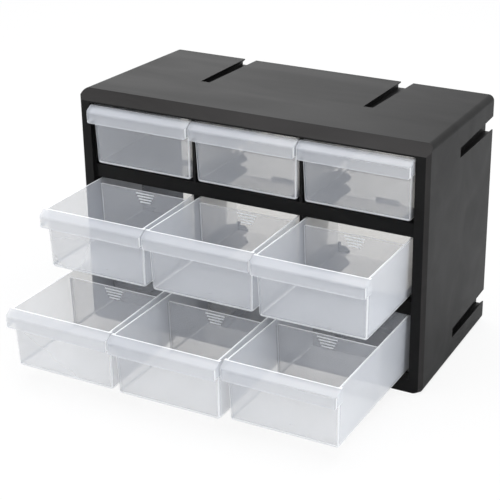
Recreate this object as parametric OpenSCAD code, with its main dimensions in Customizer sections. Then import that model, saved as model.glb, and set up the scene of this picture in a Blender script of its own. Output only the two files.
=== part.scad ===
// Parts bin cabinet: a black moulded casing with three rows of three clear drawers.
// Millimetres, +Z up. The origin is the centre of the underside and the drawers open towards -Y.

/* [Drawer] */
// Outside width across the bottom of the front wall
drawer_w = 109.4; // [90:0.1:120]
// Outside length along the bottom
drawer_l = 164; // [140:1:200]
// Height from the bottom to the rim
drawer_h = 62.4; // [56:0.1:80]
// Thickness of the walls
drawer_wall = 1.6; // [1.2:0.1:2]
// Thickness of the floor
drawer_floor = 1.8; // [1.4:0.1:3]
// Outside radius of the upright corners
drawer_corner_r = 3.3; // [2.8:0.1:6]
// Outside radius along the bottom edges
drawer_edge_r = 3; // [2.6:0.1:4]
// Outward draft of each wall over the full height
drawer_draft = 1.7; // [0.8:0.1:2.4]
// Narrowing of each side wall from front to rear
drawer_narrowing = 2.2; // [0.5:0.1:3]
// Forward lean of the front wall over the full height
front_lean = 2.2; // [1.8:0.1:2.6]
// Width of the stop tab on the rear wall
tab_w = 25; // [15:1:26]
// Height of the stop tab above the rim
tab_h = 4.5; // [3.5:0.1:5]

/* [Drawer lip] */
// Distance from the foot of the front wall to the face of the lip
lip_reach = 11; // [10:0.1:14]
// Height of the lip, from the rim down to its lower edge
lip_h = 16.4; // [14:0.1:22]
// Height of the upright face of the lip
lip_face_h = 11; // [7:0.1:12]
// Thickness of the lip
lip_t = 2; // [1.6:0.1:2.4]
// Overhang of the lip past each side wall at the rim
lip_overhang = 1.6; // [1.2:0.1:1.8]
// Radius of the lower corners of the lip
lip_corner_r = 3; // [2:0.1:5]
// Radius of the upright edges at the ends of the lip
lip_end_r = 2.5; // [1:0.1:4]

/* [Divider] */
// Distance from the foot of the front wall to the middle of the divider
divider_y = 90; // [60:1:110]
// Thickness of the divider
divider_t = 1.5; // [1.2:0.1:2]
// Distance from the rim down to the top of the divider
divider_drop = 4.5; // [3:0.1:8]
// Play on every side of the divider
divider_play = 0.2; // [0.1:0.05:0.4]
// Thickness and height of the ribs that hold the divider
groove_rib = 1.2; // [0.8:0.1:1.6]
// Number of grip ridges on the divider
ridges = 4; // [3:1:5]
// Distance from one grip ridge to the next
ridge_pitch = 3; // [2.5:0.1:4]
// Length of the longest grip ridge
ridge_w = 21; // [18:1:28]

/* [Drawer fit] */
// Gap between a drawer and the runners that it slides on
slide_gap = 0.3; // [0.2:0.05:0.6]
// Gap between a drawer wall and the post beside it
side_gap = 0.75; // [0.5:0.05:1.2]
// Gap between the rim of a drawer and the bar above it
head_gap = 2.1; // [1.8:0.1:2.6]
// Distance from a closed drawer to the back edge of the casing
rear_room = 11.8; // [8:0.1:20]
// Gap between an outer lip and the frame beside it
lip_side_gap = 1; // [0.8:0.1:2]
// Distance from the front of the casing back to the foot of a closed drawer
front_recess = 2.5; // [2:0.1:3.2]

/* [Grid] */
// Width of the posts between the columns
post_w = 3.2; // [3:0.1:8]
// Height of the bars between the rows
bar_h = 14; // [12:0.5:20]
// Depth of the bars and posts
bar_d = 8; // [7:0.1:10]
// Distance from the front of the casing back to the bars and posts
grid_setback = 4.4; // [4:0.1:5]
// Width of a runner on each side of a bay
runner_w = 15; // [12.5:0.25:18]
// Length of the runners behind the front of the bars
runner_l = 88; // [60:1:120]
// Corner that is cut off at the rear of a runner
runner_cut = 8; // [4:0.5:10]
// Height of the runners above the bars
runner_rise = 1.2; // [0.6:0.1:2]
// Thickness of the plastic of the grid
grid_t = 2.5; // [2:0.1:3]
// Length of the guide peg between two drawers
peg_l = 5; // [3:0.5:8]
// Height of the guide peg above the runners
peg_h = 4; // [4:0.5:12]

/* [Casing] */
// Width of the front frame beside the drawers
stile_w = 13.5; // [13:0.1:20]
// Height of the front frame above the drawers
top_rail_h = 12; // [12:0.5:20]
// Thickness of the casing
case_wall = 2.5; // [2:0.1:3]
// Narrowing of each side towards the back
side_taper = 5.3; // [2:0.1:6]
// Drop of the top towards the back
top_taper = 4; // [1:0.1:4.5]
// Width of the bevel round the front frame
bevel = 3.5; // [2:0.1:4.5]
// Depth of the bevel round the front frame
bevel_d = 4.4; // [3:0.1:6]
// Height of the larger bevel along the top of the front frame
top_bevel = 10; // [5:0.1:10.5]
// Depth of the larger bevel along the top of the front frame
top_bevel_d = 11.5; // [7:0.1:12]
// Radius of the long edges of the casing
case_r = 6; // [5:0.5:8]
// Width of the ledges that carry the shelves
ledge_w = 6; // [4:0.5:9]

/* [Connector slots] */
// Length of a slot from the back edge
slot_l = 96; // [60:1:120]
// Width of the mouth of a slot at its front end
mouth_front_w = 10; // [8:0.1:11]
// Width of the mouth of a slot at the back edge
mouth_back_w = 13.7; // [12:0.1:15]
// Depth of the straight lip of the mouth
slot_lip = 1; // [0.8:0.1:1.4]
// Undercut on each side of the mouth
slot_undercut = 2.75; // [2:0.05:3]
// Depth of the slots in the top and the underside
top_slot_d = 6.5; // [5.5:0.1:6.6]
// Depth of the slots in the sides
side_slot_d = 7.5; // [6:0.1:8]
// Thickness of the plastic round a slot
slot_wall = 1.5; // [1.2:0.1:1.6]
// Distance of the top and bottom slots from the middle
top_slot_x = 91; // [86:0.5:92]
// Height of the lower slot in each side
low_slot_z = 28; // [28:0.5:50]
// Distance of the upper slot in each side below the top of the casing
high_slot_drop = 33; // [24:0.5:40]

/* [Open drawers] */
// Distance to the end of their travel in the middle row, from the left
middle_to_stop = [66, 65.5, 62];
// Distance to the end of their travel in the bottom row, from the left
bottom_to_stop = [2.5, 0.5, 5.5];

/* [Hidden] */
ROWS = ["bottom", "middle", "top"];
COLUMNS = ["left", "middle", "right"];
SIDES = ["left", "right"];

// Drawer
rim_w = drawer_w + 2 * drawer_draft;
lip_w = rim_w + 2 * lip_overhang;
lip_z = drawer_h - lip_h;
rim_l = drawer_l + drawer_draft;
corner_steps = 6;
edge_steps = 3;
lip_back = 1;
lip_nose_r = 3;
tab_root = 1.4;

// Grid
pitch_x = rim_w + 2 * side_gap + post_w;
open_h = runner_rise + slide_gap + drawer_h + head_gap;
pitch_z = open_h + bar_h;

// Casing
jamb_x = pitch_x + rim_w / 2 + side_gap;
open_x = pitch_x + lip_w / 2 + lip_side_gap;
case_w = 2 * (open_x + stile_w);
case_h = 3 * pitch_z + top_rail_h;
case_d = front_recess + rim_l + rear_room;
front_y = -case_d / 2;
back_y = case_d / 2;
grid_y = front_y + grid_setback;
frame_back_y = grid_y + bar_d;
runner_end_y = grid_y + runner_l;
seam_x = case_w / 2 - side_taper - case_r;
case_steps = 5;
past = 1;

// Travel of a drawer, from closed until its tab meets the bar in front
stop_gap = 0.3;
travel = front_recess + rim_l - drawer_wall - grid_setback - bar_d - stop_gap;
rest_open = [[for (d = bottom_to_stop) travel - d], [for (d = middle_to_stop) travel - d], [0, 0, 0]];

function drawer_name(r, c) = str("drawer_", ROWS[r], "_", COLUMNS[c]);
function divider_name(r, c) = str("divider_", ROWS[r], "_", COLUMNS[c]);
function front_post_name(r, s) = str("front_post_", ROWS[r], "_", SIDES[s]);

echo(case_w = case_w, case_d = case_d, case_h = case_h, pitch_x = pitch_x, pitch_z = pitch_z);
echo(travel = travel);

// Skin between rings of points. Each ring runs counterclockwise seen from the last one.
module loft(rings) {
    n = len(rings[0]);
    last = len(rings) - 1;
    sides = [for (k = [0:last - 1], i = [0:n - 1])
        let (j = (i + 1) % n, a = k * n, b = (k + 1) * n)
        each [[a + i, b + i, b + j], [a + i, b + j, a + j]]];
    polyhedron(
        points = [for (ring = rings) each ring],
        faces = concat([[for (i = [0:n - 1]) i]],
                       [[for (i = [n - 1:-1:0]) last * n + i]],
                       sides),
        convexity = 8);
}

// A quarter circle about [x, y], from angle a
function quarter(x, y, r, a, steps) =
    [for (i = [0:steps]) [x + r * cos(a + 90 * i / steps), y + r * sin(a + 90 * i / steps)]];

// Box between two corners
module block(low, high) {
    translate(low) cube(high - low);
}

// Profile of [y, z] points, extruded along X from x0 to x1
module along_x(x0, x1) {
    translate([x0, 0, 0]) rotate([90, 0, 90]) linear_extrude(x1 - x0) children();
}

// Profile of [x, z] points, extruded along Y from y0 to y1
module along_y(y0, y1) {
    translate([0, y1, 0]) rotate([90, 0, 0]) linear_extrude(y1 - y0) children();
}

// ---- Casing ----

function setback(y) = (y - front_y) / case_d;
function side_x(y) = case_w / 2 - side_taper * setback(y);
function top_z(y) = case_h - top_taper * setback(y);

// Section of the casing at depth y, drawn in by a distance on the sides, the top and the bottom
function case_ring(y, side_in, top_in, bottom_in) =
    let (x = side_x(y) - side_in, z1 = top_z(y) - top_in, z0 = bottom_in,
         r = max(case_r - side_in, 1))
    [for (p = concat(quarter(x - r, z0 + r, r, -90, case_steps),
                     quarter(x - r, z1 - r, r, 0, case_steps),
                     quarter(r - x, z1 - r, r, 90, case_steps),
                     quarter(r - x, z0 + r, r, 180, case_steps))) [p[0], y, p[1]]];

// The part in front of the larger bevel, past the outside of the casing
module top_bevel_tool() {
    slope = top_bevel / top_bevel_d;
    top = top_z(front_y + top_bevel_d);
    rotate([90, 0, 90]) linear_extrude(2 * case_w, center = true)
        polygon([[front_y - past, top - top_bevel - past * slope],
                 [front_y + top_bevel_d + past, top + past * slope],
                 [front_y - past, top + past * slope]]);
}

module case_outer() {
    difference() {
        loft([case_ring(back_y, 0, 0, 0), case_ring(front_y + bevel_d, 0, 0, 0),
              case_ring(front_y, bevel, bevel, 0)]);
        top_bevel_tool();
    }
}

module case_inner(y0) {
    loft([case_ring(back_y + past, case_wall, case_wall, case_wall),
          case_ring(y0, case_wall, case_wall, case_wall)]);
}

// Section of a slot: across it, and depth below the surface
function slot_section(mouth_w, depth) =
    let (m = mouth_w / 2, u = m + slot_undercut)
    [[-m, past], [-m, -slot_lip], [-u, -slot_lip - slot_undercut], [-u, -depth],
     [u, -depth], [u, -slot_lip - slot_undercut], [m, -slot_lip], [m, past]];

function boss_section(mouth_w, depth) =
    let (u = mouth_w / 2 + slot_undercut + slot_wall)
    [[-u, -case_wall / 2], [-u, -depth - slot_wall], [u, -depth - slot_wall], [u, -case_wall / 2]];

function slot_front_y() = back_y - slot_l;
function mouth_w(y) = mouth_front_w + (mouth_back_w - mouth_front_w) * (y - slot_front_y()) / slot_l;

// The slots are drawn for the top, at the middle, and are then moved to their places
module top_slot(x) {
    loft([for (y = [back_y + past, slot_front_y()])
        [for (p = slot_section(mouth_w(y), top_slot_d)) [x + p[0], y, top_z(y) + p[1]]]]);
}

module top_slot_boss(x) {
    loft([for (y = [back_y, slot_front_y() - slot_wall])
        [for (p = boss_section(mouth_w(y), top_slot_d)) [x + p[0], y, top_z(y) + p[1]]]]);
}

module base_slot(x) {
    loft([for (y = [back_y + past, slot_front_y()])
        [for (p = slot_section(mouth_w(y), top_slot_d)) [x - p[0], y, -p[1]]]]);
}

module base_slot_boss(x) {
    loft([for (y = [back_y, slot_front_y() - slot_wall])
        [for (p = boss_section(mouth_w(y), top_slot_d)) [x - p[0], y, -p[1]]]]);
}

module side_slot(z) {
    loft([for (y = [back_y + past, slot_front_y()])
        [for (p = slot_section(mouth_w(y), side_slot_d)) [side_x(y) + p[1], y, z - p[0]]]]);
}

module side_slot_boss(z) {
    loft([for (y = [back_y, slot_front_y() - slot_wall])
        [for (p = boss_section(mouth_w(y), side_slot_d)) [side_x(y) + p[1], y, z - p[0]]]]);
}

// The skin of the casing behind the front frame
module case_skin() {
    difference() {
        case_outer();
        case_inner(front_y - past);
    }
}

module front_frame() {
    color([0.09, 0.09, 0.1]) difference() {
        intersection() {
            case_outer();
            block([-case_w, front_y, 0], [case_w, frame_back_y, case_h]);
        }
        // The opening, stepped at the plane of the bars
        block([-open_x, front_y - past, bar_h], [open_x, grid_y, case_h - top_rail_h]);
        block([-jamb_x, grid_y - past, bar_h], [jamb_x, frame_back_y + past, case_h - top_rail_h]);
        // The hollow behind the face, below the solid top rail
        difference() {
            case_inner(grid_y + grid_t);
            block([-jamb_x - grid_t, front_y, bar_h - grid_t],
                  [jamb_x + grid_t, back_y + 2 * past, case_h - top_rail_h + grid_t]);
            block([-case_w, front_y, case_h - top_rail_h], [case_w, back_y + 2 * past, case_h + past]);
        }
    }
}

module top_panel() {
    color([0.13, 0.13, 0.14]) difference() {
        union() {
            intersection() {
                case_skin();
                block([-seam_x, frame_back_y, case_h / 2], [seam_x, back_y, case_h]);
            }
            for (x = [-top_slot_x, top_slot_x]) top_slot_boss(x);
        }
        for (x = [-top_slot_x, top_slot_x]) top_slot(x);
    }
}

module base_panel() {
    color([0.11, 0.11, 0.12]) difference() {
        union() {
            intersection() {
                case_skin();
                block([-seam_x, frame_back_y, 0], [seam_x, back_y, case_h / 2]);
            }
            for (x = [-top_slot_x, top_slot_x]) base_slot_boss(x);
        }
        for (x = [-top_slot_x, top_slot_x]) base_slot(x);
    }
}

function side_slot_heights() = [low_slot_z, case_h - high_slot_drop];
function runner_z(r) = bar_h + r * pitch_z + runner_rise;

// Ledge along the inside of the right side, under a shelf
module ledge(r) {
    inner = case_wall - past / 2;
    y1 = runner_end_y;
    translate([0, 0, runner_z(r) - 2 * grid_t]) linear_extrude(grid_t) polygon([
        [side_x(frame_back_y) - case_wall - ledge_w, frame_back_y],
        [side_x(frame_back_y) - inner, frame_back_y],
        [side_x(y1) - inner, y1],
        [side_x(y1) - case_wall - ledge_w, y1]]);
}

module side_panel() {
    difference() {
        union() {
            intersection() {
                case_skin();
                block([seam_x, frame_back_y, 0], [case_w, back_y, case_h]);
            }
            for (z = side_slot_heights()) side_slot_boss(z);
            for (r = [1:2]) ledge(r);
        }
        for (z = side_slot_heights()) side_slot(z);
    }
}

module right_panel() {
    color([0.14, 0.14, 0.14]) side_panel();
}

module left_panel() {
    color([0.14, 0.14, 0.14]) mirror([1, 0, 0]) side_panel();
}

// ---- Grid ----

// Plan of the runner between two columns, with its rear corners cut off
module runner_plan(y0) {
    w = runner_w;
    cut = runner_cut;
    polygon([[-w, y0], [w, y0], [w, runner_end_y - cut], [w - cut, runner_end_y],
             [cut - w, runner_end_y], [-w, runner_end_y - cut]]);
}

// Runner between two columns: two flanges on a web, with a guide peg at its rear end
module middle_runner(y0, z0, z1) {
    web = grid_t / 2;
    for (z = [z0, z1 - grid_t]) translate([0, 0, z]) linear_extrude(grid_t) runner_plan(y0);
    block([-web, y0, z0 + web], [web, runner_end_y, z1 - web]);
    block([-web, runner_end_y - peg_l, z1 - web], [web, runner_end_y, z1 + peg_h]);
}

// Runner along the right side of the casing, with a web at its inner edge
module side_runner(y0, z0, z1) {
    x0 = 1.5 * pitch_x - runner_w;
    block([x0, y0, z1 - grid_t], [case_w / 2, runner_end_y, z1]);
    block([x0, y0, z0], [x0 + grid_t, runner_end_y, z1 - grid_t / 2]);
}

// Runners of one row, from z0 up to the foot of its drawers
module runners(z0, z1, y0) {
    intersection() {
        for (s = [-1, 1]) {
            translate([s * pitch_x / 2, 0, 0]) middle_runner(y0, z0, z1);
            mirror([s < 0 ? 1 : 0, 0, 0]) side_runner(y0, z0, z1);
        }
        union() {
            case_inner(frame_back_y);
            block([-jamb_x, grid_y, 0], [jamb_x, frame_back_y + past, z1 - runner_rise]);
        }
    }
}

// Channel across the front, open to the back
module front_bar(z1) {
    difference() {
        block([-jamb_x, grid_y, z1 - bar_h], [jamb_x, frame_back_y, z1]);
        block([-jamb_x - past, grid_y + grid_t, z1 - bar_h + grid_t],
              [jamb_x + past, frame_back_y + past, z1 - grid_t]);
    }
}

module shelf(r) {
    top = bar_h + r * pitch_z;
    front_bar(top);
    runners(top - bar_h, runner_z(r), grid_y + grid_t);
}

// The runners on the underside, joined by a rib that clears the connector slots
module base_runners() {
    rib_x = 1.5 * pitch_x - runner_w + grid_t / 2;
    color([0.1, 0.1, 0.11]) {
        runners(case_wall, runner_z(0), frame_back_y);
        block([-rib_x, runner_end_y - peg_l, top_slot_d + slot_wall + past],
              [rib_x, runner_end_y - grid_t, runner_z(0) - grid_t / 2]);
    }
}

module lower_shelf() {
    color([0.1, 0.1, 0.11]) shelf(1);
}

module upper_shelf() {
    color([0.1, 0.1, 0.11]) shelf(2);
}

// Post between two columns
module front_post(r, s) {
    x = (s - 0.5) * pitch_x;
    z = bar_h + r * pitch_z;
    color([0.09, 0.09, 0.1])
        block([x - post_w / 2, grid_y, z], [x + post_w / 2, frame_back_y, z + open_h]);
}

// ---- Drawers ----

function half_w(z) = drawer_w / 2 + drawer_draft * z / drawer_h;
function wall_front_y(z) = -front_lean * z / drawer_h;
function wall_rear_y(z) = drawer_l + drawer_draft * z / drawer_h;

// Section of a drawer at height z, drawn in by a distance on every side
function drawer_ring(z, in) =
    let (x = half_w(z) - in, y0 = wall_front_y(z) + in, y1 = wall_rear_y(z) - in,
         xr = x - drawer_narrowing, r = max(drawer_corner_r - in, 0.5), n = corner_steps)
    [for (p = concat(quarter(x - r, y0 + r, r, -90, n), quarter(xr - r, y1 - r, r, 0, n),
                     quarter(r - xr, y1 - r, r, 90, n), quarter(r - x, y0 + r, r, 180, n)))
        [p[0], p[1], z]];

// Solid of a drawer, with its bottom edges rounded
module drawer_solid(in, floor_z, edge_r, top_z) {
    loft(concat(
        [for (i = [0:edge_steps])
            let (a = 90 * i / edge_steps)
            drawer_ring(floor_z + edge_r * (1 - cos(a)), in + edge_r * (1 - sin(a)))],
        [drawer_ring(top_z, in)]));
}

module drawer_outer() {
    drawer_solid(0, 0, drawer_edge_r, drawer_h);
}

module drawer_inner(in) {
    drawer_solid(in, drawer_floor, drawer_edge_r - drawer_wall, drawer_h + past);
}

// Side view of the lip, drawn in by a distance
module lip_profile(in) {
    rise = lip_h - lip_face_h;
    slope = atan(rise / (lip_reach - front_lean));
    bend = lip_nose_r * tan((90 - slope) / 2);
    nose = [lip_nose_r - lip_reach, drawer_h - rise - bend];
    foot = lip_z - (in > 0 ? past : 0);
    top = drawer_h - in / cos(slope);
    polygon(concat(
        [[in - lip_reach, foot]],
        [for (i = [0:corner_steps])
            let (a = 180 - (90 - slope) * i / corner_steps)
            nose + (lip_nose_r - in) * [cos(a), sin(a)]],
        [[-front_lean, top], [lip_back, top], [lip_back, foot]]));
}

// Outline of the lip from above, with rounded ends
module lip_plan() {
    polygon(concat(
        quarter(lip_w / 2 - lip_end_r, lip_end_r - lip_reach, lip_end_r, -90, corner_steps),
        [[lip_w / 2, lip_back + past], [-lip_w / 2, lip_back + past]],
        quarter(lip_end_r - lip_w / 2, lip_end_r - lip_reach, lip_end_r, 180, corner_steps)));
}

// Outline of the lip from the front, with rounded lower corners
module lip_elevation() {
    polygon(concat(
        quarter(lip_w / 2 - lip_corner_r, lip_z + lip_corner_r, lip_corner_r, -90, corner_steps),
        [[lip_w / 2, drawer_h], [-lip_w / 2, drawer_h]],
        quarter(lip_corner_r - lip_w / 2, lip_z + lip_corner_r, lip_corner_r, 180, corner_steps)));
}

module lip() {
    difference() {
        intersection() {
            along_x(-lip_w / 2, lip_w / 2) lip_profile(0);
            along_y(-lip_reach - past, lip_back + past) lip_elevation();
            translate([0, 0, lip_z - past]) linear_extrude(lip_h + 2 * past) lip_plan();
        }
        along_x(-lip_w / 2 + lip_t, lip_w / 2 - lip_t) lip_profile(lip_t);
    }
}

// Tab on the rear wall that meets the bar above the opening
module stop_tab() {
    y1 = rim_l;
    slant = tab_h / 3;
    along_y(y1 - drawer_wall, y1) polygon([
        [-tab_w / 2, drawer_h - tab_root], [tab_w / 2, drawer_h - tab_root], [tab_w / 2, drawer_h],
        [tab_w / 2 - slant, drawer_h + tab_h], [slant - tab_w / 2, drawer_h + tab_h], [-tab_w / 2, drawer_h]]);
}

divider_top = drawer_h - divider_drop;

// Pairs of upright ribs on the side walls, one each side of the divider
module groove_ribs() {
    gap = divider_t / 2 + divider_play;
    reach = drawer_w / 2 - drawer_narrowing - drawer_wall - 2 * groove_rib;
    intersection() {
        difference() {
            drawer_outer();
            drawer_inner(drawer_wall + groove_rib);
        }
        for (side = [-1, 1], end = [-1, 1]) {
            x0 = side > 0 ? reach : -drawer_w;
            y0 = divider_y + (end > 0 ? gap : -gap - groove_rib);
            block([x0, y0, drawer_floor / 2],
                  [x0 + drawer_w - reach, y0 + groove_rib, divider_top]);
        }
    }
}

module drawer_body() {
    difference() {
        union() {
            drawer_outer();
            lip();
        }
        drawer_inner(drawer_wall);
    }
    stop_tab();
    groove_ribs();
}

// Half the inside width of a drawer where the divider stands
function divider_half_w(z) =
    half_w(z) - drawer_wall - divider_play - drawer_narrowing * divider_y / drawer_l;

module divider_body() {
    foot = drawer_floor + divider_play;
    cut = drawer_edge_r;
    along_y(divider_y - divider_t / 2, divider_y + divider_t / 2) polygon([
        [cut - divider_half_w(foot), foot], [divider_half_w(foot) - cut, foot],
        [divider_half_w(foot + cut), foot + cut], [divider_half_w(divider_top), divider_top],
        [-divider_half_w(divider_top), divider_top], [-divider_half_w(foot + cut), foot + cut]]);
    // Grip ridges, shorter towards the bottom
    ridge_h = 0.5;
    for (i = [0:ridges - 1])
        translate([0, divider_y - divider_t / 2, divider_top - ridge_pitch * (i + 1)])
            rotate([0, 90, 0])
                cylinder(h = ridge_w - i * ridge_pitch, r = ridge_h, center = true, $fn = 24);
}

// Moves a drawer and its divider to their bay
module at_bay(r, c) {
    translate([(c - 1) * pitch_x, front_y + front_recess - rest_open[r][c], runner_z(r) + slide_gap])
        children();
}

module drawer(r, c) {
    color([0.82, 0.86, 0.9]) at_bay(r, c) drawer_body();
}

module divider(r, c) {
    color([0.72, 0.78, 0.84]) at_bay(r, c) divider_body();
}

front_frame();
top_panel();
base_panel();
left_panel();
right_panel();
base_runners();
lower_shelf();
upper_shelf();
for (r = [0:2], s = [0:1]) front_post(r, s);
for (r = [0:2], c = [0:2]) {
    drawer(r, c);
    divider(r, c);
}
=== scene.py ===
"""Looks of a parts bin cabinet: a black moulded casing with nine translucent drawers."""

import math
from contextlib import contextmanager

import bmesh
import bpy
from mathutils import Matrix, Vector


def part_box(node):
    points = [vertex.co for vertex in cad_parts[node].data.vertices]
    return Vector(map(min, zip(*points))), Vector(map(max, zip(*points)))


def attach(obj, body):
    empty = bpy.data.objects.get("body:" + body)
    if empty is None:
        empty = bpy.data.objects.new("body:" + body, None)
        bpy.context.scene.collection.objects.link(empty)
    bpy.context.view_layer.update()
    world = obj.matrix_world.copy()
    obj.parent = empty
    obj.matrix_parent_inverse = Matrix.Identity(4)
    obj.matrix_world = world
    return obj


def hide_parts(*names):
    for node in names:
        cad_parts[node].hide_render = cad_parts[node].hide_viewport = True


bl_info = {
    "name": "Parts bin cabinet",
    "version": (1, 0, 0),
    "blender": (4, 5, 0),
    "location": "3D View > Sidebar > Cabinet",
    "description": "Models and finishes a parts bin cabinet round its packed frame",
    "category": "Object",
}

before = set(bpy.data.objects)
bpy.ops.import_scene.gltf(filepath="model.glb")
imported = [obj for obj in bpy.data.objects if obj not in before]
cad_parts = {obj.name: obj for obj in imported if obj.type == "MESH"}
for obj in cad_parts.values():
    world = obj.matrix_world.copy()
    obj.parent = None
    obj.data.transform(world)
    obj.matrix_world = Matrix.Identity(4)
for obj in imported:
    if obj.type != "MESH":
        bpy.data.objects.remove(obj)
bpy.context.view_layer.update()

MM = 0.001
X, Y, Z = range(3)
ROWS = ("bottom", "middle", "top")
COLUMNS = ("left", "middle", "right")
SIDES = ("left", "right")
HALVES = (-1, 1)
CASING_NODES = ("front_frame", "top_panel", "base_panel", "left_panel", "right_panel")
SHELF_NODES = ("base_runners", "lower_shelf", "upper_shelf")
POST_NODES = tuple(f"front_post_{row}_{side}" for row in ROWS for side in SIDES)
BLACK_SLOT = "black_plastic"
CLEAR_SLOT = "clear_plastic"
# Places of the casing's plastics, and of a drawer's, in their lists of materials
FACE, BEVEL = range(2)
WALL, LIP, EDGE = range(3)

# How far a cutting tool stands past the face that it cuts
PAST = 2 * MM
# Distance within which two places count as the same
TINY = 0.01 * MM
# Least share of a direction that counts as running or facing that way
ALIGNED = 0.9
# Segments of a round: of long edges and large corners, of feet and noses, of small corners, of ridges and of
# every softened edge
LONG_ROUND, FOOT_ROUND, SMALL_ROUND, RIDGE_ROUND, EDGE_ROUND = 6, 5, 4, 2, 2
GATE_SIDES = 24
# Angles between faces that count as flat, as smooth and as an edge
FLAT, SMOOTH, SHARP = math.radians(0.5), math.radians(30), math.radians(40)


# ---- Sizes that a user would change ----

def length(name, millimetres, description):
    return bpy.props.FloatProperty(
        name=name, description=description, default=millimetres * MM, min=0.0, unit="LENGTH", precision=4)


def factor(name, share, description):
    return bpy.props.FloatProperty(
        name=name, description=description, default=share, min=0.0, max=1.0, subtype="FACTOR")


def tint(name, colour, description):
    return bpy.props.FloatVectorProperty(
        name=name, description=description, default=colour, size=len(colour), subtype="COLOR",
        min=0.0, max=1.0)


class CabinetCasingSettings(bpy.types.PropertyGroup):
    """Sizes and colours of the black mouldings"""

    stile: length("Stile", 13.5, "Width of the front frame beside the drawers")
    top_rail: length("Top rail", 12, "Height of the front frame above the drawers")
    bar: length("Bar", 14, "Height of the bars between the rows")
    jamb_step: length("Jamb step", 1.85, "How far the jamb stands in from the opening")
    grid_setback: length("Grid setback", 4.4, "Depth from the front frame back to the bars")
    wall: length("Wall", 2.5, "Thickness of the casing")
    side_taper: length("Side taper", 5.3, "Narrowing of each side towards the back")
    top_taper: length("Top taper", 4, "Drop of the top towards the back")
    bevel: length("Bevel", 3.5, "Width of the bevel round the front frame")
    bevel_depth: length("Bevel depth", 4.4, "Depth of the bevel round the front frame")
    top_bevel: length("Top bevel", 10, "Height of the larger bevel along the top of the frame")
    top_bevel_depth: length("Top bevel depth", 11.5, "Depth of the larger bevel along the top of the frame")
    long_radius: length("Long edge radius", 6, "Radius of the four long edges")
    edge_radius: length("Edge radius", 0.35, "Radius of every small edge")
    slot_length: length("Slot length", 96, "Length of a connector slot from the back edge")
    mouth_front: length("Mouth, front", 10, "Width of a slot's mouth at its front end")
    mouth_back: length("Mouth, back", 13.7, "Width of a slot's mouth at the back edge")
    slot_lip: length("Slot lip", 1, "Depth of the straight lip of a slot")
    undercut: length("Undercut", 2.75, "Undercut on each side of a slot")
    top_slot_depth: length("Top slot depth", 6.5, "Depth of the slots in the top and the underside")
    side_slot_depth: length("Side slot depth", 7.5, "Depth of the slots in the sides")
    slot_wall: length("Slot wall", 1.5, "Thickness of the plastic round a slot")
    top_slot_x: length("Top slot place", 91, "Distance of the top slots from the middle")
    low_slot_z: length("Low slot height", 28, "Height of the lower slot in each side")
    high_slot_drop: length("High slot drop", 33, "Distance of the upper side slot below the top")
    colour: tint("Black", (0.0068, 0.0068, 0.007), "Colour of the black plastic")
    # Painted sheen: the paler black on the bevels stands in for the light that they catch from above
    bevel_sheen_colour: tint("Sheen black", (0.028, 0.0265, 0.0265), "Colour of the bevels, which are painted paler")


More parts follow.
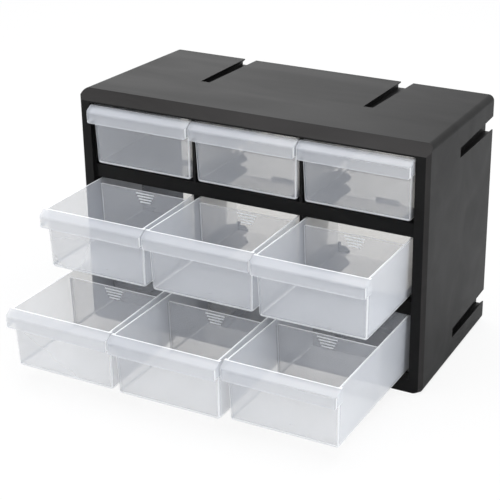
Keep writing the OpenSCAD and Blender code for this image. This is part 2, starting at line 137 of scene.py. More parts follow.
class CabinetDrawerSettings(bpy.types.PropertyGroup):
    """Sizes and colours of the drawers and their dividers"""

    width: length("Width", 109.4, "Outside width across the bottom of the front wall")
    depth: length("Length", 164, "Outside length along the bottom")
    height: length("Height", 62.4, "Height from the bottom to the rim")
    wall: length("Wall", 1.6, "Thickness of the walls")
    floor: length("Floor", 1.8, "Thickness of the floor")
    corner_radius: length("Corner radius", 3.3, "Outside radius of the upright corners")
    foot_radius: length("Foot radius", 3, "Outside radius along the bottom edges")
    draft: length("Draft", 1.7, "Outward draft of each wall over the full height")
    narrowing: length("Narrowing", 2.2, "Narrowing of each side wall from front to rear")
    lean: length("Lean", 2.2, "Forward lean of the front wall over the full height")
    edge_radius: length("Edge radius", 0.3, "Radius of every small edge")
    lip_reach: length("Lip reach", 11, "Distance from the foot of the front wall to the face of the lip")
    lip_height: length("Lip height", 16.4, "Height of the lip, from the rim down")
    lip_face: length("Lip face", 11, "Height of the upright face of the lip")
    lip_nose: length("Lip nose", 3, "Radius of the nose of the lip")
    lip_wall: length("Lip wall", 2, "Thickness of the lip")
    lip_overhang: length("Lip overhang", 1.6, "Overhang of the lip past each side wall")
    lip_corner: length("Lip corner", 3, "Radius of the lower corners of the lip")
    lip_end: length("Lip end", 2.5, "Radius of the upright edges at the ends of the lip")
    lip_back: length("Lip back", 1, "How far the lip reaches back past the foot of the front wall")
    tab_width: length("Tab width", 25, "Width of the stop tab on the rear wall")
    tab_height: length("Tab height", 4.5, "Height of the stop tab above the rim")
    tab_corner: length("Tab corner", 2, "Radius of the corners of the stop tab")
    divider_y: length("Divider place", 90, "Distance from the front wall to the divider")
    divider_thickness: length("Divider thickness", 1.5, "Thickness of the divider")
    divider_drop: length("Divider drop", 4.5, "Distance from the rim down to the divider")
    divider_foot: length("Divider foot", 3.2, "Radius of the lower corners of the divider")
    divider_corner: length("Divider corner", 1.5, "Radius of the upper corners of the divider")
    play: length("Play", 0.2, "Play on every side of the divider")
    rib: length("Rib", 1.2, "Thickness and height of the ribs that hold the divider")
    ridge_width: length("Ridge width", 21, "Length of the longest grip ridge")
    ridge_pitch: length("Ridge pitch", 3, "Distance from one grip ridge to the next")
    ridge_thickness: length("Ridge thickness", 1, "Thickness of a grip ridge, which is sunk to its half")
    ridge_radius: length("Ridge radius", 0.3, "Radius of the edges of a grip ridge")
    ridges: bpy.props.IntProperty(name="Ridges", description="Number of grip ridges", default=4, min=1)
    gate_y: length("Gate place", 17, "Distance from the front wall to the gate mark on the floor")
    gate_radius: length("Gate radius", 2.2, "Radius of the gate mark")
    gate_rise: length("Gate rise", 0.54, "Height of the gate mark above the floor")
    haze: tint("Haze", (0.84, 0.88, 0.965), "Colour that the translucent plastic scatters")
    # Painted highlight: the edges get a paler, more covering plastic for the light glinting on them and piped
    # along the walls; the longer path through plastic seen edge-on is partly real
    highlight_haze: tint("Highlight haze", (0.93, 0.95, 0.98), "Colour that the bright edges scatter")
    clear: tint("Clear", (0.985, 0.975, 0.955), "Colour of the light that passes the translucent plastic")
    cover: factor("Cover", 0.23, "How much one surface hides of what is behind it")
    lip_cover: factor("Lip cover", 0.27, "How much one surface of the lip hides")
    # Painted highlight: how much more the bright edges hide than the walls
    edge_cover: factor("Edge cover", 0.85, "How much a bright edge hides")


class CabinetStageSettings(bpy.types.PropertyGroup):
    """Place of the camera, colour of the floor and strength of the light all round"""

    camera_place: bpy.props.FloatVectorProperty(
        name="Camera", description="Place of the camera", default=(0.63588, -1.21787, 0.69047), subtype="XYZ")
    camera_turn: bpy.props.FloatVectorProperty(
        name="Camera turn", description="Turn of the camera",
        default=(math.radians(66.278), math.radians(0.457), math.radians(27.939)), subtype="EULER")
    focal_length: bpy.props.FloatProperty(
        name="Focal length", description="In millimetres, on a 36 mm sensor", default=103.85)
    shift: bpy.props.FloatVectorProperty(
        name="Shift", description="Shift of the picture, in frame widths",
        default=(-0.04955, -0.01436), size=2)
    floor_colour: tint("Floor", (0.9, 0.9, 0.9), "Colour of the floor")
    floor_glow: factor("Floor glow", 0.85, "How much of the floor is plain white to the camera")
    world_light: factor("World light", 0.46, "Strength of the soft light all round")


def casing_sizes():
    return bpy.context.scene.cabinet_casing


def drawer_sizes():
    return bpy.context.scene.cabinet_drawer


# ---- Modelling by hand, in short words ----

def choose(piece):
    """Selects one piece alone and makes it active."""
    bpy.ops.object.select_all(action="DESELECT")
    piece.select_set(True)
    bpy.context.view_layer.objects.active = piece


def settle(piece):
    """Applies the place, the turn and the scale of a piece to its mesh."""
    choose(piece)
    bpy.ops.object.transform_apply(location=True, rotation=True, scale=True)
    return piece


@contextmanager
def editing(piece):
    """Edit mode on one piece, with its mesh."""
    choose(piece)
    bpy.ops.object.mode_set(mode="EDIT")
    yield bmesh.from_edit_mesh(piece.data)
    bpy.ops.object.mode_set(mode="OBJECT")


def pick(mesh, piece, kind, test):
    """In edit mode, selects the vertices, edges or faces that pass a test."""
    bpy.ops.mesh.select_mode(type={"verts": "VERT", "edges": "EDGE", "faces": "FACE"}[kind])
    bpy.ops.mesh.select_all(action="DESELECT")
    for item in getattr(mesh, kind):
        if test(item):
            item.select_set(True)
    mesh.select_flush_mode()
    bmesh.update_edit_mesh(piece.data)


def move(piece, test, offset):
    """Moves the vertices that pass a test of their place."""
    with editing(piece) as mesh:
        pick(mesh, piece, "verts", lambda v: test(v.co))
        bpy.ops.transform.translate(value=offset)


def spread(piece, test, distance):
    """Moves the vertices that pass a test of their place away from the middle, to both sides."""
    for half in HALVES:
        move(piece, lambda p: test(p) and p.x * half > 0, (half * distance, 0, 0))


def extrude(piece, normal, offset):
    """Extrudes the faces that look along a direction."""
    with editing(piece) as mesh:
        pick(mesh, piece, "faces", lambda f: f.normal.dot(normal) > ALIGNED)
        bpy.ops.mesh.extrude_region_move(TRANSFORM_OT_translate={"value": offset})


def round_edges(piece, test, radius, segments):
    """Bevels the edges whose two ends pass a test."""
    with editing(piece) as mesh:
        pick(mesh, piece, "edges", lambda e: test(e.verts[0].co, e.verts[1].co))
        bpy.ops.mesh.bevel(offset=radius, offset_type="OFFSET", segments=segments, affect="EDGES")


def above(z):
    """A test for the places at a height or over it."""
    return lambda p: p.z > z - TINY


def below(z):
    """A test for the places at a height or under it."""
    return lambda p: p.z < z + TINY


def both(test):
    """A test for the edges whose two ends pass a test of their place."""
    return lambda a, b: test(a) and test(b)


def along(axis, test=lambda p: True):
    """A test for the edges that run roughly along an axis and whose two ends pass a test of their place."""
    def runs(a, b):
        run = b - a
        return run.length > TINY and abs(run[axis]) > ALIGNED * run.length and test(a) and test(b)
    return runs


def block(name, low, high):
    """A box between two corners, with its place in its mesh."""
    low, high = Vector(low), Vector(high)
    bpy.ops.mesh.primitive_cube_add(size=1, location=(low + high) / 2, scale=high - low)
    piece = bpy.context.active_object
    piece.name = piece.data.name = name
    return settle(piece)


def combine(piece, tool, operation):
    """Joins a tool to a piece, or cuts the piece with it, and takes the tool away."""
    modifier = piece.modifiers.new("combine", "BOOLEAN")
    modifier.operation = operation
    modifier.object = tool
    modifier.solver = "EXACT"
    choose(piece)
    bpy.ops.object.modifier_apply(modifier=modifier.name)
    bpy.data.objects.remove(tool)
    return piece


def cut(piece, tool):
    return combine(piece, tool, "DIFFERENCE")


def join(piece, tool):
    return combine(piece, tool, "UNION")


def soften(piece, radius):
    """Rounds every sharp edge a little and shades the piece smooth."""
    choose(piece)
    bpy.ops.object.mode_set(mode="EDIT")
    bpy.ops.mesh.select_all(action="SELECT")
    bpy.ops.mesh.remove_doubles(threshold=TINY)
    bpy.ops.mesh.dissolve_limited(angle_limit=FLAT)
    bpy.ops.object.mode_set(mode="OBJECT")
    modifier = piece.modifiers.new("edges", "BEVEL")
    modifier.width = radius
    modifier.segments = EDGE_ROUND
    modifier.limit_method = "ANGLE"
    modifier.angle_limit = SHARP
    bpy.ops.object.modifier_apply(modifier=modifier.name)
    bpy.ops.object.shade_smooth_by_angle(angle=SMOOTH)
    # The large faces keep their own normals, so that they look flat
    modifier = piece.modifiers.new("normals", "WEIGHTED_NORMAL")
    modifier.keep_sharp = True
    bpy.ops.object.modifier_apply(modifier=modifier.name)
    return piece


def copy_of(source, name, offset=(0, 0, 0)):
    """A copy with a mesh of its own, moved by an offset."""
    piece = source.copy()
    piece.data = source.data.copy()
    piece.name = piece.data.name = name
    bpy.context.scene.collection.objects.link(piece)
    piece.location = offset
    return settle(piece)


def paint(piece, *materials, choice=None):
    """Gives a piece its materials. The choice tells a face's material from its centre and its normal."""
    piece.data.materials.clear()
    for material in materials:
        piece.data.materials.append(material)
    if choice:
        for face in piece.data.polygons:
            face.material_index = choice(face.center, face.normal)


def dress(piece, slot, body, *nodes):
    """Gives a finished piece its body and hides the nodes that it stands for; the slot is not used."""
    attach(piece, body)
    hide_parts(*nodes)


# ---- Materials ----

# Sockets of a Mix node that mixes colours
MIX_AMOUNT, MIX_FIRST, MIX_SECOND, MIX_COLOUR = 0, 6, 7, 2
# How far the cover of the clear plastic varies
CLOUDINESS = 0.04
# Share of what it lets through that it hides where it is seen edge-on
EDGE_ON_COVER = 0.55


class Signal:
    """An output socket. Arithmetic on it adds Math nodes."""

    def __init__(self, recipe, socket):
        self.recipe = recipe
        self.socket = socket

    def __add__(self, other):
        return self.recipe.math("ADD", self, other)

    def __sub__(self, other):
        return self.recipe.math("SUBTRACT", self, other)

    def __rsub__(self, other):
        return self.recipe.math("SUBTRACT", other, self)

    def __mul__(self, other):
        return self.recipe.math("MULTIPLY", self, other)

    __radd__ = __add__
    __rmul__ = __mul__


class Recipe:
    """A material or a world, and the nodes that make it."""

    def __init__(self, owner):
        owner.use_nodes = True
        self.owner = owner
        self.tree = owner.node_tree
        self.tree.nodes.clear()

    def node(self, kind, inputs=None, output=0, **settings):
        """Adds a node with its settings, then the values or links of its sockets."""
        made = self.tree.nodes.new(kind)
        for name, value in settings.items():
            setattr(made, name, value)
        for name, value in (inputs or {}).items():
            if isinstance(value, Signal):
                self.tree.links.new(value.socket, made.inputs[name])
            else:
                made.inputs[name].default_value = value
        return Signal(self, made.outputs[output]) if len(made.outputs) else None

    def math(self, operation, first, second):
        return self.node("ShaderNodeMath", {0: first, 1: second}, operation=operation)

    def place(self, stretch=(1, 1, 1)):
        """Object coordinates, stretched along the axes."""
        coordinates = self.node("ShaderNodeTexCoord", output="Object")
        return self.node("ShaderNodeMapping", {"Vector": coordinates, "Scale": stretch})

    def noise(self, place, scale, detail, distortion=0.0):
        return self.node("ShaderNodeTexNoise", {
            "Vector": place, "Scale": scale, "Detail": detail, "Distortion": distortion}, "Fac")

    def blend(self, amount, first, second):
        return self.node("ShaderNodeMix", {MIX_AMOUNT: amount, MIX_FIRST: first, MIX_SECOND: second},
                         MIX_COLOUR, data_type="RGBA")

    def bump(self, height, strength, distance):
        return self.node("ShaderNodeBump", {"Strength": strength, "Distance": distance, "Height": height})

    def plastic(self, **inputs):
        return self.node("ShaderNodeBsdfPrincipled", {
            key.replace("_", " "): value for key, value in inputs.items()})

    def mixed(self, amount, first, second):
        return self.node("ShaderNodeMixShader", {0: amount, 1: first, 2: second})

    def finish(self, shader):
        self.node("ShaderNodeOutputMaterial", {"Surface": shader})
        return self.owner


def rgba(colour, brightness=1.0):
    return (*[channel * brightness for channel in colour], 1.0)


def black_plastic(name, colour):
    """Satin black moulding: fine grain, and faint flow streaks that run across it."""
    recipe = Recipe(bpy.data.materials.new(name))
    streaks = recipe.noise(recipe.place((3, 15, 15)), scale=1.3, detail=4.0, distortion=1.2)
    mottle = recipe.noise(recipe.place(), scale=16.0, detail=3.0)
    grain = recipe.noise(recipe.place(), scale=2600.0, detail=2.0)
    flow = recipe.node("ShaderNodeMapRange", {"Value": streaks, "From Min": 0.35, "From Max": 0.7})
    return recipe.finish(recipe.plastic(
        Base_Color=recipe.blend(flow, rgba(colour, 0.85), rgba(colour, 1.2)),
        Roughness=0.46 - flow * 0.03 + mottle * 0.04,
        Specular_IOR_Level=0.11,
        Coat_Weight=0.01 + flow * 0.035,
        Coat_Roughness=0.45,
        Normal=recipe.bump(grain, strength=0.2, distance=0.05 * MM)))


def clear_plastic(name, cover, haze):
    """Milky moulding that scatters some bluish light and lets the rest straight through, a little warmer."""
    recipe = Recipe(bpy.data.materials.new(name))
    cloud = recipe.noise(recipe.place(), scale=11.0, detail=3.0)
    edge_on = recipe.node("ShaderNodeLayerWeight", {"Blend": 0.5}, "Facing")
    grazing = recipe.math("POWER", edge_on, 2.0)
    hidden = cover - CLOUDINESS / 2 + cloud * CLOUDINESS
    milky = recipe.plastic(
        Base_Color=recipe.blend(cloud, rgba(haze, 0.98), rgba(haze, 1.02)),
        Roughness=0.32 + cloud * 0.1,
        Specular_IOR_Level=0.6,
        Coat_Weight=0.3,
        Coat_Roughness=0.2,
        Coat_IOR=1.8)
    through = recipe.node("ShaderNodeBsdfTransparent", {"Color": rgba(drawer_sizes().clear)})
    return recipe.finish(recipe.mixed(hidden + (1.0 - hidden) * grazing * EDGE_ON_COVER, through, milky))


# ---- The casing ----

# The bevels face partly forward: the bounds of that part of their normals, where a paler black paints their
# sheen
BEVEL_FACING = (-0.95, -0.2)
# Turns of a slot's tool about Y, in degrees, from the top to the other faces
SLOT_TURNS = {"top": 0, "right": 90, "base": 180, "left": 270}


class Casing:
    """Places on the casing, worked out from its box and its sizes."""

    def __init__(self):
        self.sizes = casing_sizes()
        low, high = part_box("front_frame")
        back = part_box("left_panel")[1]
        self.front = low.y
        self.back = back.y
        self.depth = self.back - self.front
        self.base = low.z
        # The bevels hide the true corner, so the width and height are carried forward along the taper
        self.half_width = high.x + self.sizes.side_taper * self.sizes.bevel_depth / self.depth
        self.height = high.z + self.sizes.top_taper * self.sizes.top_bevel_depth / self.depth
        self.frame_back = high.y
        self.grid = self.front + self.sizes.grid_setback
        self.opening_x = self.half_width - self.sizes.stile
        self.opening_top = self.height - self.sizes.top_rail
        self.jamb_x = self.opening_x - self.sizes.jamb_step

    def share(self, y):
        return (y - self.front) / self.depth

    def side_x(self, y):
        return self.half_width - self.sizes.side_taper * self.share(y)

    def top_z(self, y):
        return self.height - self.sizes.top_taper * self.share(y)

    def tapered(self, name, y0, y1, inset):
        """A block that follows the taper of the casing, drawn in by a distance on the sides, top and base."""
        x, z = self.side_x(y0) - inset, self.top_z(y0) - inset
        piece = block(name, (-x, y0, self.base + inset), (x, y1, z))
        behind = lambda p: p.y > y1 - TINY
        spread(piece, behind, self.side_x(y1) - self.side_x(y0))
        move(piece, lambda p: behind(p) and p.z > self.height / 2, (0, 0, self.top_z(y1) - self.top_z(y0)))
        return piece

    def opening(self, name, x, y0, y1):
        """A block as high as the opening, between two depths."""
        return block(name, (-x, y0, self.sizes.bar), (x, y1, self.opening_top))


def flared(casing, tool, back):
    """A slot's tool, widened at its back end as the slot is."""
    sizes = casing.sizes
    spread(tool, lambda p: p.y > back - TINY, (sizes.mouth_back - sizes.mouth_front) / 2)
    return tool


def slot_tool(casing, depth):
    """The space of a connector slot, drawn in the top at X = 0 and narrower at its front end."""
    sizes = casing.sizes
    front, back = casing.back - sizes.slot_length, casing.back + PAST
    half = sizes.mouth_front / 2
    ledge = -sizes.slot_lip - sizes.undercut
    tool = block("slot", (-half, front, -sizes.slot_lip), (half, back, PAST))
    extrude(tool, (0, 0, -1), (0, 0, -sizes.undercut))
    spread(tool, below(ledge), sizes.undercut)
    extrude(tool, (0, 0, -1), (0, 0, -depth - ledge))
    return flared(casing, tool, back)


def boss_tool(casing, depth):
    """The plastic round a connector slot, drawn in the same place."""
    sizes = casing.sizes
    front, back = casing.back - sizes.slot_length - sizes.slot_wall, casing.back
    half = sizes.mouth_front / 2 + sizes.slot_wall + sizes.undercut
    tool = block("boss", (-half, front, -depth - sizes.slot_wall), (half, back, -sizes.wall / 2))
    return flared(casing, tool, back)


def place_slot(casing, tool, where, at):
    """Lays a slot's tool on the top, the base, the left or the right side, along the taper there."""
    sizes = casing.sizes
    side_x = casing.side_x(casing.back)
    taper, x, z = {"top": (sizes.top_taper, at, casing.top_z(casing.back)),
                   "right": (sizes.side_taper, side_x, at),
                   "base": (0.0, at, casing.base),
                   "left": (sizes.side_taper, -side_x, at)}[where]
    tool.location = (0, -casing.back, 0)
    settle(tool)
    tool.rotation_euler = (-math.atan(taper / casing.depth), math.radians(SLOT_TURNS[where]), 0)
    tool.location = (x, casing.back, z)
    return settle(tool)


def slot_places(casing):
    """The face, the place along it and the depth of each slot."""
    sizes = casing.sizes
    heights = (sizes.low_slot_z, casing.height - sizes.high_slot_drop)
    across = (-sizes.top_slot_x, sizes.top_slot_x)
    return ([("top", x, sizes.top_slot_depth) for x in across]
            + [("base", x, sizes.top_slot_depth) for x in across]
            + [(side, z, sizes.side_slot_depth) for side in SIDES for z in heights])


def top_bevel_tool(casing):
    """The space in front of the larger bevel, along the top of the frame."""
    sizes = casing.sizes
    end = casing.front + sizes.top_bevel_depth
    top = casing.top_z(end)
    slope = sizes.top_bevel / sizes.top_bevel_depth
    wide = 2 * casing.half_width
    tool = block("bevel", (-wide, casing.front - PAST, top - sizes.top_bevel - PAST * slope),
                 (wide, end + PAST, top + PAST * slope))
    # The far low edge rises nearly to the far high one, which leaves a wedge
    move(tool, lambda p: p.y > end and p.z < top, (0, 0, sizes.top_bevel + (2 * PAST - TINY) * slope))
    return tool


def casing_shell(casing):
    """The casing as one solid, with the bevels round its front."""
    sizes = casing.sizes
    shoulder = casing.front + sizes.bevel_depth
    width, height = casing.side_x(shoulder), casing.top_z(shoulder)
    piece = casing.tapered("casing", shoulder, casing.back, 0.0)
    round_edges(piece, along(Y), sizes.long_radius, LONG_ROUND)
    # The bevelled face stands in front of the shoulder
    with editing(piece) as mesh:
        pick(mesh, piece, "faces", lambda f: f.normal.y < -ALIGNED)
        bpy.ops.mesh.extrude_region_move(TRANSFORM_OT_translate={"value": (0, -sizes.bevel_depth, 0)})
        bpy.ops.transform.resize(
            value=((width - sizes.bevel) / width, 1, (height - sizes.bevel) / height),
            center_override=(0, casing.front, casing.base))
    return cut(piece, top_bevel_tool(casing))


def casing_hollow(casing):
    """The space in the casing, behind the frame and round the slots."""
    sizes = casing.sizes
    hollow = casing.tapered("hollow", casing.grid + sizes.wall, casing.back + PAST, sizes.wall)
    round_edges(hollow, along(Y), sizes.long_radius - sizes.wall, LONG_ROUND)
    # The walls of the opening stay, from the face back to the end of the bars
    surround = block("surround", (-casing.jamb_x - sizes.wall, casing.front, sizes.bar - sizes.wall),
                     (casing.jamb_x + sizes.wall, casing.frame_back, casing.opening_top + sizes.wall))
    core = casing.opening("core", casing.jamb_x, casing.front - PAST, casing.frame_back + PAST)
    hollow = cut(hollow, cut(surround, core))
    # The top rail stays solid
    hollow = cut(hollow, block("rail", (-casing.half_width, casing.front, casing.opening_top),
                               (casing.half_width, casing.frame_back, casing.height + PAST)))
    for where, at, depth in slot_places(casing):
        hollow = cut(hollow, place_slot(casing, boss_tool(casing, depth), where, at))
    return hollow


def model_casing():
    casing = Casing()
    piece = cut(casing_shell(casing), casing_hollow(casing))
    piece = cut(piece, casing.opening("opening", casing.opening_x, casing.front - PAST, casing.grid))
    piece = cut(piece, casing.opening("jambs", casing.jamb_x, casing.grid - PAST, casing.frame_back + PAST))
    for where, at, depth in slot_places(casing):
        piece = cut(piece, place_slot(casing, slot_tool(casing, depth), where, at))
    return soften(piece, casing.sizes.edge_radius)


def casing_finish(p, normal):
    """The number of a face's plastic: the bevels, whose paler black is painted sheen, and the rest."""
    low, high = BEVEL_FACING
    return BEVEL if low < normal.y < high else FACE


class CABINET_OT_casing(bpy.types.Operator):
    """Model the casing as one moulding, with its bevelled frame and connector slots"""

    bl_idname = "cabinet.casing"
    bl_label = "Casing"

    def execute(self, context):
        sizes = casing_sizes()
        piece = model_casing()
        # The bevels get a paler copy of the black, a painted sheen for the light that they catch
        paint(piece, black_plastic("black plastic", sizes.colour),
              black_plastic("black plastic bevel", sizes.bevel_sheen_colour), choice=casing_finish)
        dress(piece, BLACK_SLOT, "cabinet", *CASING_NODES)
        return {"FINISHED"}


class CABINET_OT_grid(bpy.types.Operator):
    """Finish the shelves and posts with softened edges"""

    bl_idname = "cabinet.grid"
    bl_label = "Grid"

    def execute(self, context):
        material = bpy.data.materials["black plastic"]
        for node in SHELF_NODES + POST_NODES:
            piece = copy_of(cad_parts[node], f"{node}_moulding")
            piece.parent = None
            soften(piece, casing_sizes().edge_radius)
            paint(piece, material)
            dress(piece, BLACK_SLOT, "cabinet", node)
        return {"FINISHED"}


# ---- The drawers ----

# How far the painted highlight reaches past a softened edge
MARGIN = 0.1 * MM
# Shares of a face's normal: a trace, some and half of it, and the bounds of a slant near 45 degrees, which
# picks the middle of a round corner for a painted highlight
TRACE, SOME, HALF = 0.1, 0.3, 0.5
SLANT = (0.55, 0.85)


def lip_end_x():
    """Distance from the middle of a drawer to the end of its lip."""
    sizes = drawer_sizes()
    return sizes.width / 2 + sizes.draft + sizes.lip_overhang


def tub(name, inset, foot, foot_radius, top):
    """Solid of a drawer, drawn in by a distance, with drafted sides and rounded corners."""
    sizes = drawer_sizes()
    x = sizes.width / 2 - inset
    piece = block(name, (-x, inset, foot), (x, sizes.depth - inset, top))
    front = lambda p: p.y < sizes.depth / 2
    for level, z in ((above(top), top), (below(foot), foot)):
        share = z / sizes.height
        spread(piece, level, sizes.draft * share)
        move(piece, lambda p: level(p) and front(p), (0, -sizes.lean * share, 0))
        move(piece, lambda p: level(p) and not front(p), (0, sizes.draft * share, 0))
    spread(piece, lambda p: not front(p), -sizes.narrowing)
    round_edges(piece, along(Z), sizes.corner_radius - inset, LONG_ROUND)
    round_edges(piece, both(below(foot)), foot_radius, FOOT_ROUND)
    return piece


def lip_solid(name, inset, foot, back):
    """A bar with a sloping top and a rounded nose, drawn in by a distance."""
    sizes = drawer_sizes()
    half = lip_end_x() - inset
    face = inset - sizes.lip_reach
    rise = sizes.lip_height - sizes.lip_face
    slope = math.atan2(rise, sizes.lip_reach - sizes.lean)
    nose_z = sizes.height - rise - inset * (1 / math.cos(slope) - math.tan(slope))
    piece = block(name, (-half, face, foot), (half, -sizes.lean, nose_z))
    extrude(piece, (0, 1, 0), (0, back + sizes.lean, 0))
    high = above(nose_z)
    at_face = lambda p: p.y < face + TINY
    move(piece, lambda p: high(p) and not at_face(p),
         (0, 0, sizes.height - inset / math.cos(slope) - nose_z))
    bend = (sizes.lip_nose - inset) * math.tan(math.pi / 4 - slope / 2)
    round_edges(piece, both(lambda p: high(p) and at_face(p)), bend, FOOT_ROUND)
    return piece


def model_lip():
    """The lip that the drawer is pulled by, hollow from below for the fingertips."""
    sizes = drawer_sizes()
    half = lip_end_x()
    foot = sizes.height - sizes.lip_height
    low = below(foot)
    piece = lip_solid("lip", 0.0, foot, sizes.lip_back)
    round_edges(piece, along(Y, lambda p: low(p) and abs(p.x) > half - TINY), sizes.lip_corner, LONG_ROUND)
    # The ends are rounded as seen from above
    ends = block("ends", (-half, -sizes.lip_reach, foot - PAST),
                 (half, sizes.lip_back + PAST, sizes.height + PAST))
    round_edges(ends, along(Z, lambda p: p.y < -sizes.lip_reach + TINY), sizes.lip_end, LONG_ROUND)
    piece = combine(piece, ends, "INTERSECT")
    return cut(piece, lip_solid("finger gap", sizes.lip_wall, foot - PAST, sizes.lip_back + PAST))


def groove_ribs():
    """Blocks for the pairs of ribs on the side walls, one each side of the divider."""
    sizes = drawer_sizes()
    gap = sizes.divider_thickness / 2 + sizes.play
    wall_x = sizes.width / 2 - sizes.wall - sizes.narrowing * sizes.divider_y / sizes.depth
    top = sizes.height - sizes.divider_drop
    ribs = []
    for side in HALVES:
        for end in HALVES:
            near_y, far_y = sorted((sizes.divider_y + end * gap, sizes.divider_y + end * (gap + sizes.rib)))
            low_x, high_x = sorted((side * (wall_x - sizes.rib), side * (wall_x + sizes.wall / 2)))
            rib = block("rib", (low_x, near_y, sizes.floor / 2), (high_x, far_y, top))
            move(rib, above(top), (side * sizes.draft * top / sizes.height, 0, 0))
            ribs.append(rib)
    return ribs


def model_tab():
    """The stop tab on the rear wall."""
    sizes = drawer_sizes()
    rear = sizes.depth + sizes.draft
    top = sizes.height + sizes.tab_height
    tab = block("tab", (-sizes.tab_width / 2, rear - sizes.wall, sizes.height - PAST),
                (sizes.tab_width / 2, rear, top))
    round_edges(tab, along(Y, above(top)), sizes.tab_corner, SMALL_ROUND)
    return tab


def model_gate():
    """The round gate mark on the floor."""
    sizes = drawer_sizes()
    bpy.ops.mesh.primitive_cylinder_add(
        vertices=GATE_SIDES, radius=sizes.gate_radius, depth=sizes.floor,
        location=(0, sizes.gate_y, sizes.floor / 2 + sizes.gate_rise))
    return bpy.context.active_object


def drawer_finish(p, normal):
    """The number of a face's plastic: the edges with painted highlights, the lip, and the rest."""
    sizes = drawer_sizes()
    near = sizes.edge_radius + MARGIN
    outward = abs(normal.x)
    # The middle of the upright round between the front and a side, which gets a painted highlight
    turned = SLANT[0] < outward < SLANT[1] and normal.y < -HALF and p.y < sizes.corner_radius
    # Painted highlight along the rim
    if p.z > sizes.height - near:
        return EDGE
    if p.y < -sizes.lean - TINY:
        end_x = lip_end_x()
        in_wall = p.y < -sizes.lip_reach + sizes.lip_wall + near or abs(p.x) > end_x - sizes.lip_wall - near
        # Painted highlights along the foot of the lip and round its lower corners
        foot = p.z < sizes.height - sizes.lip_height + near and in_wall
        corner = outward > SOME and normal.z < -SOME and abs(p.x) > end_x - sizes.lip_corner
        return EDGE if foot or corner or turned else LIP
    from_gate = math.hypot(p.x, p.y - sizes.gate_y)
    if sizes.floor < p.z < 2 * sizes.floor and from_gate < sizes.gate_radius + near:
        return LIP
    # Painted highlight along the round at the foot of the walls
    slanting = normal.z < -TRACE and math.hypot(normal.x, normal.y) > HALF
    foot_round = slanting and p.z < sizes.foot_radius and normal.y < HALF
    return EDGE if turned or foot_round else WALL


def model_drawer():
    sizes = drawer_sizes()
    piece = tub("drawer", 0.0, 0.0, sizes.foot_radius, sizes.height)
    piece = join(piece, model_lip())
    piece = cut(piece, tub("inside", sizes.wall, sizes.floor, sizes.foot_radius - sizes.wall,
                           sizes.height + PAST))
    for part in (model_tab(), *groove_ribs(), model_gate()):
        piece = join(piece, part)
    soften(piece, sizes.edge_radius)
    # The edges get the paler clear plastic as a painted highlight
    paint(piece, clear_plastic("clear plastic", sizes.cover, sizes.haze),
          clear_plastic("clear plastic lip", sizes.lip_cover, sizes.haze),
          clear_plastic("clear plastic edge", sizes.edge_cover, sizes.highlight_haze), choice=drawer_finish)
    return piece


def model_ridge(number, front, top):
    """A grip ridge on the front of the divider, shorter the lower it stands."""
    sizes = drawer_sizes()
    half_width = (sizes.ridge_width - number * sizes.ridge_pitch) / 2
    half = sizes.ridge_thickness / 2
    z = top - (number + 1) * sizes.ridge_pitch
    ridge = block("ridge", (-half_width, front - half, z - half), (half_width, front + half, z + half))
    round_edges(ridge, along(X), sizes.ridge_radius, RIDGE_ROUND)
    return ridge


def model_divider():
    sizes = drawer_sizes()
    foot = sizes.floor + sizes.play
    top = sizes.height - sizes.divider_drop
    front = sizes.divider_y - sizes.divider_thickness / 2
    half = lambda z: (sizes.width / 2 + sizes.draft * z / sizes.height - sizes.wall - sizes.play
                      - sizes.narrowing * sizes.divider_y / sizes.depth)
    piece = block("divider", (-half(foot), front, foot), (half(foot), front + sizes.divider_thickness, top))
    spread(piece, above(top), half(top) - half(foot))
    round_edges(piece, along(Y, below(foot)), sizes.divider_foot, SMALL_ROUND)
    round_edges(piece, along(Y, above(top)), sizes.divider_corner, SMALL_ROUND)
    for number in range(sizes.ridges):
        piece = join(piece, model_ridge(number, front, top))
    soften(piece, sizes.edge_radius)
    near = sizes.edge_radius + MARGIN
    # Painted highlights: the top, the ends and the fronts of the grip ridges get the bright edge plastic
    paint(piece, bpy.data.materials["clear plastic"], bpy.data.materials["clear plastic edge"],
          choice=lambda p, normal: int(p.z > top - near or abs(p.x) > half(p.z) - near or p.y < front - TINY))
    return piece


def bay_origin(row, column):
    """The foot of the front wall of a drawer, at rest."""
    sizes = drawer_sizes()
    low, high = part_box(f"drawer_{row}_{column}")
    return Vector(((low.x + high.x) / 2, high.y - sizes.depth - sizes.draft, low.z))


def fill_bays(pattern, kind):
    """Lays a copy of a drawer or a divider in every bay, and takes the pattern away."""
    for row in ROWS:
        for column in COLUMNS:
            piece = copy_of(pattern, f"{kind}_{row}_{column}_moulding", bay_origin(row, column))
            dress(piece, CLEAR_SLOT, f"{row}_{column}_drawer", f"{kind}_{row}_{column}")
    bpy.data.objects.remove(pattern)


class CABINET_OT_drawers(bpy.types.Operator):
    """Model one drawer and lay a copy of it in every bay"""

    bl_idname = "cabinet.drawers"
    bl_label = "Drawers"

    def execute(self, context):
        fill_bays(model_drawer(), "drawer")
        return {"FINISHED"}


class CABINET_OT_dividers(bpy.types.Operator):
    """Model one divider and stand a copy of it in every drawer"""

    bl_idname = "cabinet.dividers"
    bl_label = "Dividers"

    def execute(self, context):
        fill_bays(model_divider(), "divider")
        return {"FINISHED"}


# ---- The stage ----

# Each softbox: its name, its place, its width and its power in watts
SOFTBOXES = (
    ("overhead", (0.0, 0.1, 2.2), 2.2, 42),
    ("back left", (-1.3, 1.7, 1.1), 1.4, 6),
    ("front left", (-1.8, -1.6, 0.7), 1.2, 4),
    ("right", (2.2, -0.9, 1.5), 1.4, 18),
)
# The place that the softboxes are turned to
AIM = Vector((0, 0, 0.1))
FLOOR_SIZE = 12
# How far the floor lies below the cabinet
FLOOR_GAP = 0.1 * MM
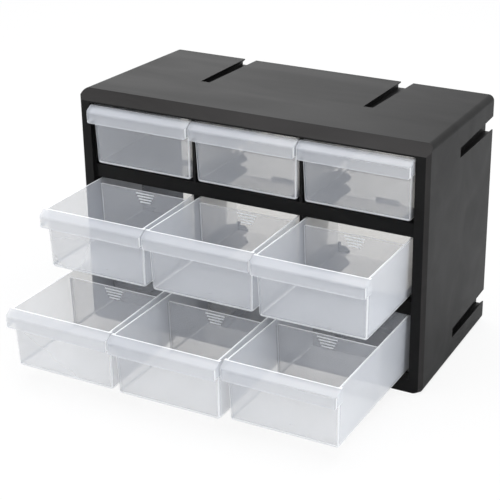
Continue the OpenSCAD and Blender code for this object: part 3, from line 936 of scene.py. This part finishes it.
# Width of the camera's sensor, in millimetres
SENSOR = 36
WHITE = (1, 1, 1, 1)
COOL_WHITE = (0.96, 0.98, 1, 1)


def softbox(name, place, width, power):
    bpy.ops.object.light_add(type="AREA", location=place)
    lamp = bpy.context.active_object
    lamp.name = name
    lamp.data.shape = "SQUARE"
    lamp.data.size = width
    lamp.data.energy = power
    lamp.rotation_euler = (AIM - Vector(place)).to_track_quat("-Z", "Y").to_euler()


def floor_material(settings):
    """White to the camera, with the object's shadow on it, and a plain pale floor to everything else."""
    recipe = Recipe(bpy.data.materials.new("floor"))
    seen = recipe.node("ShaderNodeLightPath", output="Is Camera Ray")
    lit = recipe.node("ShaderNodeBsdfDiffuse", {"Color": rgba(settings.floor_colour)})
    glow = recipe.node("ShaderNodeEmission", {"Color": WHITE, "Strength": 1.0})
    return recipe.finish(recipe.mixed(seen * settings.floor_glow, lit, glow))


def studio_world(strength):
    """White where it is seen, mirrored or shines through, and a softer light for the object."""
    world = bpy.data.worlds.new("studio")
    bpy.context.scene.world = world
    recipe = Recipe(world)
    white = recipe.node("ShaderNodeBackground", {"Color": WHITE, "Strength": 1.0})
    soft = recipe.node("ShaderNodeBackground", {"Color": COOL_WHITE, "Strength": strength})
    seen, mirrored, through = [recipe.node("ShaderNodeLightPath", output=kind) for kind in (
        "Is Camera Ray", "Is Glossy Ray", "Is Transmission Ray")]
    share = recipe.math("MAXIMUM", seen, recipe.math("MAXIMUM", mirrored, through))
    recipe.node("ShaderNodeOutputWorld", {"Surface": recipe.mixed(share, soft, white)})


class CABINET_OT_stage(bpy.types.Operator):
    """Lay the floor, light the scene and set the camera at the photograph's angle"""

    bl_idname = "cabinet.stage"
    bl_label = "Stage"

    def execute(self, context):
        settings = context.scene.cabinet_stage
        bpy.ops.mesh.primitive_plane_add(size=FLOOR_SIZE, location=(0, 0, -FLOOR_GAP))
        floor = context.active_object
        floor.name = "floor"
        floor.data.materials.append(floor_material(settings))
        studio_world(settings.world_light)
        for lamp in SOFTBOXES:
            softbox(*lamp)
        bpy.ops.object.camera_add(location=settings.camera_place, rotation=settings.camera_turn)
        camera = context.active_object
        camera.name = "camera"
        camera.data.lens = settings.focal_length
        camera.data.sensor_width = SENSOR
        camera.data.shift_x, camera.data.shift_y = settings.shift
        context.scene.camera = camera
        context.scene.view_settings.view_transform = "Standard"
        return {"FINISHED"}


class CABINET_PT_panel(bpy.types.Panel):
    """Lists the steps that make the cabinet"""

    bl_idname = "CABINET_PT_panel"
    bl_label = "Parts bin cabinet"
    bl_space_type = "VIEW_3D"
    bl_region_type = "UI"
    bl_category = "Cabinet"

    def draw(self, context):
        for operator in OPERATORS:
            self.layout.operator(operator.bl_idname)


OPERATORS = (CABINET_OT_stage, CABINET_OT_casing, CABINET_OT_grid, CABINET_OT_drawers, CABINET_OT_dividers)
SETTINGS = {
    "cabinet_casing": CabinetCasingSettings,
    "cabinet_drawer": CabinetDrawerSettings,
    "cabinet_stage": CabinetStageSettings,
}


def register():
    for name, group in SETTINGS.items():
        bpy.utils.register_class(group)
        setattr(bpy.types.Scene, name, bpy.props.PointerProperty(type=group))
    for item in OPERATORS + (CABINET_PT_panel,):
        bpy.utils.register_class(item)


def unregister():
    for item in reversed(OPERATORS + (CABINET_PT_panel,)):
        bpy.utils.unregister_class(item)
    for name, group in SETTINGS.items():
        delattr(bpy.types.Scene, name)
        bpy.utils.unregister_class(group)


def main():
    register()
    bpy.ops.cabinet.stage()
    bpy.ops.cabinet.casing()
    bpy.ops.cabinet.grid()
    bpy.ops.cabinet.drawers()
    bpy.ops.cabinet.dividers()


if __name__ == "__main__":
    main()
